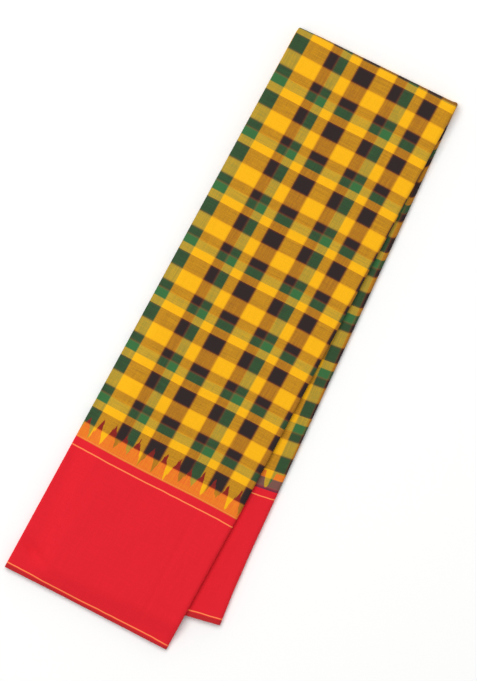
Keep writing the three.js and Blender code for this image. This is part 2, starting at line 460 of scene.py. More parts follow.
def half_ellipse(reach, rise, steps):
    turn = np.linspace(0, 1, steps + 1)
    out, down = reach * np.sin(np.pi * turn), rise * (1 - np.cos(np.pi * turn))
    arc = np.concatenate([[0], np.cumsum(np.hypot(np.diff(out), np.diff(down)))])
    return out, down, arc


def as_path(rows):
    return dict(zip(PATH_COLUMNS, np.array(rows, float).T))


print("each point of a path has", PATH_COLUMNS)

# %% [markdown]
# ## The outer sheet's path
# The outer sheet is one path: it comes out from between the layers on the left, turns over the
# thickest nose, lies over the top, turns down round the right side and tucks in below. At the red
# end the sheet below can be seen from the front, so there the path goes on to its raw end.

# %% Outer path
NOSE_REACH = 4.5
NOSE_RISE = HALF_THICKNESS / 2
NOSE_STEPS = 14
LEFT_ROUND = 0.8
LEFT_RISE = HALF_THICKNESS / 4
LEFT_REACH = LEFT_ROUND * LEFT_RISE
LEFT_STEPS = 8
TUCK = 3.0
RAW_END = 1.0
COLUMN_STEP = 2.0
LAST_LEFT_COLUMN = 164.0
LAST_RIGHT_COLUMNS = (NOSE_REACH + 2 * COLUMN_STEP, NOSE_REACH + COLUMN_STEP)
LAST_LAYER_RIGHT = (12, 25, 45, 65, 85)
LAST_LAYER_LEFT = (70, 50, 30, 15, RAW_END)

nose_out, nose_down, nose_arc = half_ellipse(NOSE_REACH, NOSE_RISE, NOSE_STEPS)
left_out, left_down, left_arc = half_ellipse(LEFT_REACH, LEFT_RISE, LEFT_STEPS)


def left_nose_rows():
    rows = [(0, LEFT_REACH + TUCK, 2 * LEFT_RISE, 0, LEFT_REACH - left_arc[-1] - TUCK)]
    for out, down, arc in zip(left_out[:0:-1], left_down[:0:-1], left_arc[:0:-1]):
        rows.append((0, LEFT_REACH - out, down, 0, LEFT_REACH - arc))
    return rows


def top_rows():
    rows = [(0, LEFT_REACH, 0, 0, LEFT_REACH)]
    rows += [(0, x, 0, 0, x) for x in np.arange(COLUMN_STEP, LAST_LEFT_COLUMN + 1, COLUMN_STEP)]
    rows += [(1, x, 0, 1, -x) for x in (*LAST_RIGHT_COLUMNS, NOSE_REACH)]
    return rows


def right_nose_rows():
    return [
        (1, NOSE_REACH - out, down, 1, arc - NOSE_REACH)
        for out, down, arc in zip(nose_out[1:], nose_down[1:], nose_arc[1:])
    ]


def right_tuck_rows():
    return [(1, NOSE_REACH + TUCK, HALF_THICKNESS, 1, nose_arc[-1] - NOSE_REACH + TUCK)]


def last_layer_rows():
    run = nose_arc[-1] - NOSE_REACH
    rows = [(1, NOSE_REACH + x, HALF_THICKNESS, 1, run + x) for x in LAST_LAYER_RIGHT]
    rows += [(0, x, HALF_THICKNESS, 2, run - NOSE_REACH - x) for x in LAST_LAYER_LEFT]
    return rows


over_rows = left_nose_rows() + top_rows() + right_nose_rows() + right_tuck_rows()
outer_path = as_path(over_rows)
border_path = as_path(over_rows + last_layer_rows())
under_path = as_path(left_nose_rows() + top_rows())
print("points across the outer sheet:", len(outer_path["run"]))

# %% [markdown]
# The lower half's upper side is the saree's last stretch. Its raw end is on the left, under the
# upper half, and on the right it turns down to the table round the same fold.

# %% Path of the lower half's upper side
inner_rows = []
looseness = 1 + LOWER_COLUMN_SHIFT / nose_arc[-1]
full_run = looseness * nose_arc[-1] - 2 * NOSE_REACH
for x in (RAW_END, *np.arange(COLUMN_STEP, LAST_LEFT_COLUMN + 1, COLUMN_STEP)):
    inner_rows.append((0, x, HALF_THICKNESS, 2, full_run - x))
for x in LAST_RIGHT_COLUMNS:
    inner_rows.append((1, x, HALF_THICKNESS, 1, full_run + x))
for out, down, arc in zip(nose_out[::-1], nose_down[::-1], nose_arc[::-1]):
    inner_rows.append((1, NOSE_REACH - out, down, 1, looseness * arc - NOSE_REACH))
inner_path = as_path(inner_rows)
print("points across the lower half's upper side:", len(inner_path["run"]))

# %% [markdown]
# ## The hidden layers' path
# The other thirty layers are one unbroken run of the same cloth. It goes back and forth through the
# stack in the order worked out above, and turns at the left and right on nested half ellipses. Each
# group of noses on the left stands a little further in or out, as folded by hand.

# %% Hidden path
LEFT_GROUPS = [
    {"first": 0, "rise_layers": 7.5, "inset": 0.0},
    {"first": 16, "rise_layers": 3.5, "inset": 0.9},
    {"first": 24, "rise_layers": 1.5, "inset": 0.3},
    {"first": 28, "rise_layers": 0.5, "inset": 1.5},
    {"first": 30, "rise_layers": 0.0, "inset": 2.4},
]
HIDDEN_LEFT = (*range(4, 48, 4), 70, 110, 150)
NEAR_TOP_LEFT = (*range(4, 60, 4), 70, 80, 88, 96, 108, 120, 132, 140, 148, 160)
NEAR_TOP_LAYERS = 6
HIDDEN_RIGHT = (13,)
NESTED_STEPS = 4
HIDDEN_WIDTH = 177.5

hidden_first, hidden_last = 1, LAYERS - 2
layer_pitch = (HALF_THICKNESS - 2 * CLEAR_OF_OUTER) / (hidden_last - hidden_first)


def layer_depth(layer):
    return CLEAR_OF_OUTER + (layer - hidden_first) * layer_pitch


def left_group(layer):
    return [group for group in LEFT_GROUPS if group["first"] <= layer][-1]


def left_start(layer):
    group = left_group(layer)
    return group["inset"] + LEFT_ROUND * group["rise_layers"] * layer_pitch


def flat_points(layer):
    near_top = hidden_first <= layer < hidden_first + NEAR_TOP_LAYERS
    points = [(0, left_start(layer))]
    points += [(0, x) for x in (NEAR_TOP_LEFT if near_top else HIDDEN_LEFT)]
    points += [(1, x) for x in (*HIDDEN_RIGHT, NOSE_REACH)]
    return [(side, x, layer_depth(layer)) for side, x in points]


def turn_points(layer, to_layer, on_right):
    rise = abs(layer_depth(to_layer) - layer_depth(layer)) / 2
    start = NOSE_REACH if on_right else left_start(min(layer, to_layer))
    reach = rise * NOSE_REACH / NOSE_RISE if on_right else LEFT_ROUND * rise
    out, down, _ = half_ellipse(reach, rise, NESTED_STEPS)
    step = 1 if to_layer > layer else -1
    middle = zip(out[1:-1], down[1:-1])
    return [(int(on_right), start - x, layer_depth(layer) + step * z) for x, z in middle]


hidden_points = []
stretches = sorted(set(range(LAYERS)) - {order[0], order[-1]})
for number, stretch in enumerate(stretches):
    layer = order.index(stretch)
    goes_right = stretch % 2 == 0
    points = flat_points(layer)
    hidden_points += points if goes_right else points[::-1]
    if number + 1 < len(stretches):
        hidden_points += turn_points(layer, order.index(stretches[number + 1]), goes_right)

hidden_inside = np.array([HIDDEN_WIDTH - x if side else x for side, x, _ in hidden_points])
hidden_depth = np.array([depth for _, _, depth in hidden_points])
steps = np.hypot(np.diff(hidden_inside), np.diff(hidden_depth))
hidden_run = -left_arc[-1] - np.concatenate([[0], np.cumsum(steps)])
hidden_path = as_path([
    (side, x, depth, 0, run) for (side, x, depth), run in zip(hidden_points, hidden_run)
])
print("hidden cloth in m:", round(float(-hidden_run[-1]) * MM, 2), "points:", len(hidden_points))

# %% [markdown]
# The selvedges of the hidden layers don't end flush. Each one stops a little short of the outer
# sheet, by a length that wanders slowly along the cloth. The random numbers are seeded, so every
# run gives the same cloth.

# %% Uneven selvedges
SELVEDGE_SHORT = (0.3, 2.4)
WANDER_EVERY = 60.0
HIDDEN_UPPER_PLACES = (0, 0.5, 1)
HIDDEN_UPPER_AT = (2, 1.4, 0)

rng = np.random.default_rng(5)
wander_at = np.arange(0, -hidden_run[-1] + WANDER_EVERY, WANDER_EVERY)
upper_short = np.interp(-hidden_run, wander_at, rng.uniform(*SELVEDGE_SHORT, len(wander_at)))
lower_short = np.interp(-hidden_run, wander_at, rng.uniform(*SELVEDGE_SHORT, len(wander_at)))


def hidden_station(path, place):
    # place runs from 0 at the upper selvedge to 1 and 2 at the cross fold's two sides and 3 at
    # the lower selvedge.
    if place <= 1:
        on_upper = np.interp(place, HIDDEN_UPPER_PLACES, HIDDEN_UPPER_AT)
        (across, along, height), flat = upper_station(path, on_upper)
        if place == 0:
            along = along - upper_short
        return (across, along, height), flat
    if place < 2:
        return fold_station(path, place - 1)
    share = LOWER_START + (1 - LOWER_START) * (place - 2)
    (across, along, height), flat = lower_station(path, share)
    if place == 3:
        along = along - lower_short
    return (across, along, height), flat


HIDDEN_STATIONS = [(0, 0.5, 23), (0.5, 1, 24), (1, 2, 9), (2, 3, 20)]
hidden_places = np.concatenate([[0.0]] + [np.linspace(*part)[1:] for part in HIDDEN_STATIONS])
print("stations of the hidden cloth:", len(hidden_places))

# %% [markdown]
# ## From plan to metres
# The frame's origin is under the middle of the folded saree, +Y points to the cross fold and +Z up.

# %% To the frame
def to_frame(across, along, height):
    points = [across - MIDDLE_ACROSS, MIDDLE_ALONG - along, height]
    return np.stack(np.broadcast_arrays(*points), axis=-1) * MM


print("top left corner in m", [round(float(v), 4) for v in to_frame(0.0, 0.0, STACK_THICKNESS)])

# %% [markdown]
# ## A sheet from a grid
# Every piece starts as a plain grid, one column of vertices for each point of its path and one row
# for each station. Its vertices are then moved to their places, its UV map gets the flat measures,
# and Solidify gives it the thickness of cloth. Shading stays smooth except at the cut edges.

# %% Sheet maker
CLOTH = 0.25
EDGE_ANGLE = math.radians(50)


def grid_piece(name, path, places, station):
    deselect_all()
    columns, rows = len(path["run"]), len(places)
    bpy.ops.mesh.primitive_grid_add(x_subdivisions=columns - 1, y_subdivisions=rows - 1, size=2)
    piece = bpy.context.object
    piece.name = name
    piece.data.name = name
    mesh = piece.data
    flat = np.empty(len(mesh.vertices) * 3)
    mesh.vertices.foreach_get("co", flat)
    x, y = flat.reshape(-1, 3)[:, 0], flat.reshape(-1, 3)[:, 1]
    column = np.rint((x + 1) / 2 * (columns - 1)).astype(int)
    row = np.rint((y + 1) / 2 * (rows - 1)).astype(int)
    stations = [station(path, place) for place in places]
    points = np.array([to_frame(*spot) for spot, _ in stations])
    cloth = np.array([np.stack(np.broadcast_arrays(*flat), axis=-1) * MM for _, flat in stations])
    mesh.vertices.foreach_set("co", points[row, column].ravel())
    corner = np.empty(len(mesh.loops), int)
    mesh.loops.foreach_get("vertex_index", corner)
    uv_map = mesh.uv_layers.active
    uv_map.name = "cloth"
    uv_map.data.foreach_set("uv", cloth[row[corner], column[corner]].ravel())
    mesh.update()
    return piece


def give_thickness(piece, thickness, offset):
    deselect_all()
    bpy.context.view_layer.objects.active = piece
    piece.select_set(True)
    bpy.ops.object.modifier_add(type="SOLIDIFY")
    solidify = piece.modifiers[-1]
    solidify.thickness = thickness * MM
    solidify.offset = offset
    solidify.use_even_offset = True
    bpy.ops.object.modifier_apply(modifier=solidify.name)
    bpy.ops.object.shade_smooth_by_angle(angle=EDGE_ANGLE)
    return piece


def cut_size(path, width, length):
    inside = np.where(path["widths"] > 0, path["run"] + path["widths"] * width, path["run"])
    return (round(float(np.ptp(inside)) * MM, 4), round(length * MM, 4))


print("cloth thickness in mm", CLOTH)

# %% [markdown]
# ## The seven sheets that show
# Each one stands for its solid. They share the points of their seams, so no gap opens between them,
# and their outer faces point away from the layers they wrap.

# %% Panels
# Each row gives the name, the path, the first and last station, their number and what places them.
PANELS = [
    ("upper_body_cloth", outer_path, 1, 0, 154, upper_station),
    ("upper_border_cloth", border_path, 2, 1, 62, upper_station),
    ("cross_fold_cloth", outer_path, 0, 1, 25, fold_station),
    ("under_body_cloth", under_path, LOWER_START, LOWER_BORDER_SHARE, 48, lower_station),
    ("under_border_cloth", under_path, LOWER_BORDER_SHARE, 1, 20, lower_station),
    ("lower_body_cloth", inner_path, LOWER_BORDER_SHARE, LOWER_START, 110, lower_station),
    ("lower_border_cloth", inner_path, 1, LOWER_BORDER_SHARE, 48, lower_station),
]

panels = [
    grid_piece(name, path, np.linspace(first, last, count), station)
    for name, path, first, last, count, station in PANELS
]
upper_body, upper_border, cross_fold, under_body, under_border, lower_body, lower_border = panels
for panel in panels:
    give_thickness(panel, CLOTH, -1)
    print(panel.name, len(panel.data.vertices), "vertices")

# %% [markdown]
# ## The hidden layers
# One long sheet, back and forth through the stack. It is thinner than its share of the height, so
# a little air stays between the layers and their selvedges read as separate lines at the ends.

# %% Hidden cloth
HIDDEN_CLOTH = 0.13

hidden = grid_piece("folded_layers_cloth", hidden_path, hidden_places, hidden_station)
give_thickness(hidden, HIDDEN_CLOTH, 0)
print(hidden.name, len(hidden.data.polygons) * 2, "triangles")

# %% [markdown]
# ## Colours
# Four dyes make nearly every colour of the cloth. Where two cross, the eye sees about half of each,
# so the mix is worked out in linear light. The other values are red where it lies tight over black
# or green, the rust cast beside black, the thin lines, and a deeper red at the selvedge that is
# painted shade of its edge turning down. One function turns a dye's hex value to linear.

# %% Dyes
def dye(hex_value):
    channels = [int(hex_value[i:i + 2], 16) / 255 for i in (0, 2, 4)]
    linear = [c / 12.92 if c <= 0.04045 else ((c + 0.055) / 1.055) ** 2.4 for c in channels]
    return (*linear, 1.0)


YELLOW = dye("F1B016")
BLACK = dye("2F2525")
GREEN = dye("396A3D")
RED = dye("DB212D")
RED_ON_DARK = dye("AA2419")
RED_ON_GREEN = dye("973553")
RUST = dye("A8441C")
THIN_LINE = dye("FC8850")
# Painted shade: a deeper red for the selvedge's edge where it turns down.
SHADED_SELVEDGE_RED = dye("B8262A")
print("yellow in linear light", [round(c, 3) for c in YELLOW[:3]])

# %% [markdown]
# One small function adds a node with its settings and links. Values fill the sockets in use from
# the top down, or by name, and a node handed in as a value is linked from its first output in use.
# Everything else in a material is a list of such calls.

# %% Node helper
def add(tree, kind, *values, named=None, **settings):
    node = tree.nodes.new("ShaderNode" + kind)
    for setting, value in settings.items():
        setattr(node, setting, value)
    chosen = list(zip([socket for socket in node.inputs if socket.enabled], values))
    chosen += [(node.inputs[name], value) for name, value in (named or {}).items()]
    for socket, value in chosen:
        if isinstance(value, bpy.types.Node):
            value = next(output for output in value.outputs if output.enabled)
        if isinstance(value, bpy.types.NodeSocket):
            tree.links.new(value, socket)
        else:
            socket.default_value = value
    return node


SOFT_STEP = {"interpolation_type": "SMOOTHSTEP"}
print("soft steps between colours:", SOFT_STEP["interpolation_type"])

# %% [markdown]
# ## The sett
# Stripes are counted off in threads on the loom. The warp repeats every 60.7 mm. The weft has a
# longer repeat of 211.6 mm, three times yellow, black, green, yellow and a wide dark stripe, which
# is green the third time. A colour ramp holds one repeat, and where two colours meet it is a
# millimetre soft, as threads of each lie mixed there. A second ramp marks the rust-red pin line
# along each edge of a black stripe.

# %% Stripes
EDGE_SOFT = 1.0
PIN_WIDTH = 1.7
PIN_STRENGTH = 0.42
WARP_SETT = [(BLACK, 16.8), (YELLOW, 16.8), (BLACK, 9.2), (GREEN, 9.5), (YELLOW, 8.4)]
WEFT_SETT = [
    (GREEN, 16.1), (YELLOW, 23.15), (BLACK, 10.6), (GREEN, 10.3), (YELLOW, 11.35),
    (BLACK, 18.6), (YELLOW, 20.1), (BLACK, 11.55), (GREEN, 11.75), (YELLOW, 10.3),
    (BLACK, 15.8), (YELLOW, 18.5), (BLACK, 11.5), (GREEN, 12.0), (YELLOW, 10.0),
]
WEFT_SHIFT = 0.2
NO_PIN, FULL_PIN = (0, 0, 0, 1), (1, 1, 1, 1)


def total(sett):
    return sum(width for _, width in sett)


def ramp_of(tree, coordinate, repeat, stops):
    turns = add(tree, "Math", coordinate, repeat, operation="DIVIDE")
    ramp = add(tree, "ValToRGB", add(tree, "Math", turns, operation="FRACT"))
    elements = ramp.color_ramp.elements
    elements[0].position, elements[0].color = stops[0][0] / repeat, stops[0][1]
    elements[1].position, elements[1].color = stops[-1][0] / repeat, stops[-1][1]
    for position, colour in stops[1:-1]:
        elements.new(position / repeat).color = colour
    return ramp


def stripes(tree, coordinate, sett):
    stops, at = [], 0.0
    for colour, width in sett:
        stops += [(at + EDGE_SOFT / 2, colour), (at + width - EDGE_SOFT / 2, colour)]
        at += width
    return ramp_of(tree, coordinate, total(sett), stops)


def pin_lines(tree, coordinate, sett):
    stops, at = [], 0.0
    for (colour, width), (after, _) in zip(sett, sett[1:] + sett[:1]):
        at += width
        if BLACK in (colour, after) and at < total(sett):
            stops += [(at - PIN_WIDTH, NO_PIN), (at, FULL_PIN), (at + PIN_WIDTH, NO_PIN)]
    if sett[0][0] == BLACK:
        stops = [(0.0, FULL_PIN), (PIN_WIDTH, NO_PIN)] + stops
    shares = ramp_of(tree, coordinate, total(sett), stops)
    return add(tree, "Math", shares, PIN_STRENGTH, operation="MULTIPLY")


def yarns(tree, coordinate, sett):
    pins = pin_lines(tree, coordinate, sett)
    return add(tree, "Mix", pins, stripes(tree, coordinate, sett), RUST, data_type="RGBA")


print("warp repeat in mm", round(total(WARP_SETT), 2), "weft repeat in mm", round(total(WEFT_SETT), 2))

# %% [markdown]
# ## Temple teeth
# The border's red weft and the body's weft meet in tall teeth, about 14 mm apart. They stand on the
# joint and point into the body. The weaver turns each weft thread back by hand, so no two teeth
# are quite alike: a table gives the middle of each, its height, and how far up the next gap starts.
# The sides bulge a little, and each thread ends a little early or late. The distance to the joint
# is measured the same way in both halves, from the middle of the cloth outwards.

# %% Tall teeth
CLOTH_MIDDLE = 14.2
MIDDLE_TO_JOINT = 451.7
TEETH = [
    (9.2, 24.0, 1.5), (21.8, 29.5, 1.0), (35.8, 31.0, 7.0), (50.1, 25.5, 8.0), (63.4, 28.0, 2.5),
    (80.0, 27.0, 3.0), (93.9, 29.0, 1.0), (108.3, 31.0, 5.0), (122.2, 24.5, 8.0), (135.0, 28.0, 1.5),
    (148.2, 26.5, 8.0), (163.3, 28.5, 1.5), (176.1, 29.5, 3.0),
]
TEETH_START, TEETH_REPEAT = 1.7, 182.0
TOOTH_LIMIT = 32.0
TOOTH_BULGE = 0.85
PICK_WIDTH = 0.9
PICK_UNEVEN = 4.5


def above_joint(tree, row):
    past_middle = add(tree, "Math", row, CLOTH_MIDDLE, operation="SUBTRACT")
    from_middle = add(tree, "Math", past_middle, operation="ABSOLUTE")
    return add(tree, "Math", MIDDLE_TO_JOINT, from_middle, operation="SUBTRACT")


def tooth_stop(at, height):
    share = (height / TOOTH_LIMIT) ** (1 / TOOTH_BULGE)
    return at - TEETH_START, (share, share, share, 1)


def tall_edge(tree, column):
    stops = [tooth_stop(TEETH_START, TEETH[-1][2])]
    following = [at for at, *_ in TEETH[1:]] + [TEETH[0][0] + TEETH_REPEAT]
    for (at, tip, foot), after in zip(TEETH, following):
        stops += [tooth_stop(at, tip), tooth_stop((at + after) / 2, foot)]
    counted = add(tree, "Math", column, TEETH_START, operation="SUBTRACT")
    edge = ramp_of(tree, counted, TEETH_REPEAT, stops)
    edge = add(tree, "Math", edge, TOOTH_BULGE, operation="POWER")
    pick = add(tree, "Math", column, PICK_WIDTH, operation="DIVIDE")
    pick = add(tree, "Math", pick, operation="FLOOR")
    noise = add(tree, "TexWhiteNoise", pick, noise_dimensions="1D")
    uneven = add(tree, "Math", noise, PICK_UNEVEN, -PICK_UNEVEN / 2, operation="MULTIPLY_ADD")
    return add(tree, "Math", edge, TOOTH_LIMIT, uneven, operation="MULTIPLY_ADD")


print("tall teeth:", len(TEETH), "highest in mm:", max(tip for _, tip, _ in TEETH))

# %% [markdown]
# The teeth of the two borders were set out on their own. Those of the lower one are broad and
# blunt, 22 mm apart, and between them the body hangs down in narrow gaps with round tips. Each gap
# is a parabola, cut off at the height of the teeth. One mask joins both kinds.

# %% Blunt teeth and the mask
BLUNT_TOOTH = 17.8
BLUNT_PITCH = 22.0
BLUNT_GAP = 203.2
GAP_TIP = 1.0
GAP_CURVE = 0.64
TOOTH_SOFT = 0.7


def blunt_edge(tree, column):
    count = add(tree, "Math", column, BLUNT_GAP, operation="SUBTRACT")
    count = add(tree, "Math", count, BLUNT_PITCH, operation="DIVIDE")
    part = add(tree, "Math", add(tree, "Math", count, 0.5, operation="ADD"), operation="FRACT")
    beside = add(tree, "Math", part, 0.5, operation="SUBTRACT")
    beside = add(tree, "Math", beside, operation="ABSOLUTE")
    beside = add(tree, "Math", beside, BLUNT_PITCH, operation="MULTIPLY")
    rounded = add(tree, "Math", beside, 2.0, operation="POWER")
    rounded = add(tree, "Math", rounded, GAP_CURVE, operation="MULTIPLY")
    rounded = add(tree, "Math", rounded, GAP_TIP, operation="ADD")
    return add(tree, "Math", rounded, BLUNT_TOOTH, operation="MINIMUM")


def tooth_mask(tree, at):
    tall, blunt = tall_edge(tree, at["column"]), blunt_edge(tree, at["column"])
    more = add(tree, "Math", tall, blunt, operation="SUBTRACT")
    edge = add(tree, "Math", at["on_upper"], more, blunt, operation="MULTIPLY_ADD")
    within = add(tree, "Math", edge, at["above"], operation="SUBTRACT")
    return add(tree, "MapRange", within, -TOOTH_SOFT, TOOTH_SOFT, **SOFT_STEP)


print("blunt teeth every", BLUNT_PITCH, "mm")

# %% [markdown]
# ## The weave
# Handloom silk cotton is a plain weave of about 25 threads to the centimetre. A thread of 0.4 mm is
# finer than a pixel of the photo, so the weave is drawn at 0.8 mm, as coarse as it needs to show
# up close. Threads swell and thin, so each system gets long faint streaks along its own threads,
# and each crossing shows a little more of one thread or the other, which makes a fine speckle.

# %% Weave and slubs
THREAD_PITCH = 0.8
SLUB = {"width": 1.1, "length": 22.0, "detail": 2.0, "roughness": 0.5}
SPECKLE = {"width": 1.1, "length": 1.1, "detail": 3.0, "roughness": 0.7}
WARP_SEED, WEFT_SEED, SPECKLE_SEED = 3.0, 7.0, 0.0
TO_MM = 1 / MM


def cloth_measures(tree):
    measures = add(tree, "SeparateXYZ", add(tree, "UVMap", uv_map="cloth"))
    return [
        add(tree, "Math", measures.outputs[axis], TO_MM, operation="MULTIPLY") for axis in ("X", "Y")
    ]


def thread_waves(tree, column, row):
    across = add(tree, "Math", column, math.pi / THREAD_PITCH, operation="MULTIPLY")
    along = add(tree, "Math", row, math.pi / THREAD_PITCH, operation="MULTIPLY")
    across = add(tree, "Math", across, operation="SINE")
    along = add(tree, "Math", along, operation="SINE")
    return add(tree, "Math", across, along, operation="MULTIPLY")


def unevenness(tree, beside, lengthways, form, seed):
    x = add(tree, "Math", beside, form["width"], operation="DIVIDE")
    y = add(tree, "Math", lengthways, form["length"], operation="DIVIDE")
    spot = add(tree, "CombineXYZ", x, y, seed)
    noise = add(tree, "TexNoise", spot, 1.0, form["detail"], form["roughness"])
    return add(tree, "Math", noise, 0.5, operation="SUBTRACT")


print("weave drawn at", THREAD_PITCH, "mm")

# %% [markdown]
# ## Where threads cross
# Over the yellow warp a red tooth looks orange. Over black or green warp it looks maroon, because
# the dark threads lie tight on top. Black over yellow has a rust-red cast, stronger where the
# yellow is warp. So the material asks of each dye whether it is light or black, by its red and
# green channels. Just above the joint the last rows of the warp are plain yellow.

# %% Threads of the body
LIGHT_RED = (0.45, 0.7)
BLACK_GREEN = (0.04, 0.12)
RUST_ON_ROW = 0.27
RUST_ON_COLUMN = 0.15
LOWER_JOINT_DROP = 1.0
JOINT_SOFT = 0.4
PLAIN_WARP = (1.4, 2.2)


def is_light(tree, colour):
    red = add(tree, "SeparateColor", colour).outputs["Red"]
    return add(tree, "MapRange", red, *LIGHT_RED, **SOFT_STEP)


def is_black(tree, colour):
    green = add(tree, "SeparateColor", colour).outputs["Green"]
    brighter = add(tree, "MapRange", green, *BLACK_GREEN, **SOFT_STEP)
    return add(tree, "Math", 1.0, brighter, operation="SUBTRACT")


def rust_cast(tree, light_row, light_column, black_row, black_column):
    on_row = add(tree, "Math", black_column, light_row, operation="MULTIPLY")
    on_column = add(tree, "Math", black_row, light_column, operation="MULTIPLY")
    rust = add(tree, "Math", on_column, RUST_ON_COLUMN, operation="MULTIPLY")
    return add(tree, "Math", on_row, RUST_ON_ROW, rust, operation="MULTIPLY_ADD")


def border_side(tree, at):
    on_lower = add(tree, "Math", 1.0, at["on_upper"], operation="SUBTRACT")
    body_side = add(tree, "Math", on_lower, LOWER_JOINT_DROP, at["above"], operation="MULTIPLY_ADD")
    in_body = add(tree, "MapRange", body_side, -JOINT_SOFT, JOINT_SOFT, **SOFT_STEP)
    return add(tree, "Math", 1.0, in_body, operation="SUBTRACT")


def body_threads(tree, at):
    warp = yarns(tree, add(tree, "Math", at["row"], REPEAT_STARTS[0], operation="SUBTRACT"), WARP_SETT)
    weft = yarns(tree, add(tree, "Math", at["column"], WEFT_SHIFT, operation="ADD"), WEFT_SETT)
    light_row, light_column = is_light(tree, warp), is_light(tree, weft)
    black_row, black_column = is_black(tree, warp), is_black(tree, weft)
    rust = rust_cast(tree, light_row, light_column, black_row, black_column)
    dark_column = add(tree, "Math", 1.0, light_column, operation="SUBTRACT")
    dark_pair = add(tree, "Math", black_row, dark_column, operation="MULTIPLY")
    tooth = tooth_mask(tree, at)
    red_lead = add(tree, "Math", tooth, light_row, operation="MULTIPLY")
    maroon = add(tree, "Mix", at["on_upper"], RED_ON_GREEN, RED_ON_DARK, data_type="RGBA")
    red_weft = add(tree, "Mix", light_row, maroon, RED, data_type="RGBA")
    weft = add(tree, "Mix", tooth, weft, red_weft, data_type="RGBA")
    no_tooth = add(tree, "Math", 1.0, tooth, operation="SUBTRACT")
    rust = add(tree, "Math", rust, no_tooth, operation="MULTIPLY")
    past_plain = add(tree, "MapRange", at["above"], *PLAIN_WARP, **SOFT_STEP)
    plain_warp = add(tree, "Math", 1.0, past_plain, operation="SUBTRACT")
    plain_warp = add(tree, "Math", plain_warp, at["on_upper"], operation="MULTIPLY")
    warp = add(tree, "Mix", plain_warp, warp, YELLOW, data_type="RGBA")
    in_border = border_side(tree, at)
    warp = add(tree, "Mix", in_border, warp, RED, data_type="RGBA")
    weft = add(tree, "Mix", in_border, weft, RED, data_type="RGBA")
    return warp, weft, rust, dark_pair, red_lead


print("rust-red cast on rows and columns:", RUST_ON_ROW, RUST_ON_COLUMN)

# %% [markdown]
# At each crossing the eye sees a little more of the weft than of the warp. Swollen threads, the
# waves of the weave and the speckle shift that share, and so do black rows over dark columns and
# the red of the teeth. Right on the crest of the cross fold more of the black warp is shown, which
# paints in the shade of the fold's edge turning down.

# %% Share of the weft
WEFT_SHARE = 0.55
MIX_WAVE = 0.16
MIX_UNEVEN = 0.35
SPECKLE_STRENGTH = 0.3
DARK_PAIR = -0.12
RED_LEAD = 0.05
CREST_ROW = -15.75
CREST_EDGE = (4.0, 5.2)
CREST_PAINTED_SHADE = -0.27


def weft_share(tree, at, dark_pair, red_lead):
    uneven = add(tree, "Math", at["warp_slub"], at["weft_slub"], operation="SUBTRACT")
    uneven = add(tree, "Math", uneven, MIX_UNEVEN, operation="MULTIPLY")
    uneven = add(tree, "Math", dark_pair, DARK_PAIR, uneven, operation="MULTIPLY_ADD")
    uneven = add(tree, "Math", red_lead, RED_LEAD, uneven, operation="MULTIPLY_ADD")
    # Painted shade: on the crest of the cross fold the black warp shows more, darkening the fold's
    # edge.
    past_crest = add(tree, "Math", at["row"], CREST_ROW, operation="SUBTRACT")
    from_crest = add(tree, "Math", past_crest, operation="ABSOLUTE")
    off_crest_shade = add(tree, "MapRange", from_crest, *CREST_EDGE, **SOFT_STEP)
    on_crest_shade = add(tree, "Math", 1.0, off_crest_shade, operation="SUBTRACT")
    uneven = add(tree, "Math", on_crest_shade, CREST_PAINTED_SHADE, uneven, operation="MULTIPLY_ADD")
    uneven = add(tree, "Math", at["specks"], SPECKLE_STRENGTH, uneven, operation="MULTIPLY_ADD")
    share = add(tree, "Math", uneven, WEFT_SHARE, operation="ADD")
    return add(tree, "Math", at["waves"], MIX_WAVE, share, operation="MULTIPLY_ADD")


print("share of the weft:", WEFT_SHARE)

# %% [markdown]
# The border is plain red with thin orange-yellow lines: a faint one along the joint, one just below
# it and one before the selvedge. The lower two waver a little, as the cloth was pulled on the loom.
# Past the last line the selvedge is painted a deeper red, as the shade of its edge turning down.

# %% Lines of the border
JOINT_LINE = -1.0
JOINT_STRENGTH = 0.5
FIRST_LINE = 8.4
SECOND_LINE = 143.4
LINE_WIDTH = 1.0
LINE_CORE, LINE_EDGE = 0.3, 0.8
WAVER = 0.8
WAVER_LENGTH = 30.0
SELVEDGE_SHADE_PAST_LINE = (2.2, 1.2)


def line_mask(tree, above, depth):
    away = add(tree, "Math", above, depth, operation="ADD")
    away = add(tree, "Math", away, operation="ABSOLUTE")
    off = add(tree, "MapRange", away, LINE_WIDTH * LINE_CORE, LINE_WIDTH * LINE_EDGE, **SOFT_STEP)
    return add(tree, "Math", 1.0, off, operation="SUBTRACT")


def border_lines(tree, at, colour):
    joint = line_mask(tree, at["above"], JOINT_LINE)
    joint = add(tree, "Math", joint, at["on_upper"], operation="MULTIPLY")
    joint = add(tree, "Math", joint, JOINT_STRENGTH, operation="MULTIPLY")
    colour = add(tree, "Mix", joint, colour, THIN_LINE, data_type="RGBA")
    lengthways = add(tree, "Math", at["column"], WAVER_LENGTH, operation="DIVIDE")
    noise = add(tree, "TexNoise", lengthways, 1.0, noise_dimensions="1D")
    wavering = add(tree, "Math", noise, 2 * WAVER, -WAVER, operation="MULTIPLY_ADD")
    above_waved = add(tree, "Math", at["above"], wavering, operation="ADD")
    for depth in (FIRST_LINE, SECOND_LINE):
        line = line_mask(tree, above_waved, depth)
        colour = add(tree, "Mix", line, colour, THIN_LINE, data_type="RGBA")
    # Painted shade: past the last line the selvedge turns a deeper red, for its edge turning down.
    edges = [-SECOND_LINE - past for past in SELVEDGE_SHADE_PAST_LINE]
    inside = add(tree, "MapRange", at["above"], *edges, **SOFT_STEP)
    selvedge = add(tree, "Math", 1.0, inside, operation="SUBTRACT")
    return add(tree, "Mix", selvedge, colour, SHADED_SELVEDGE_RED, data_type="RGBA")


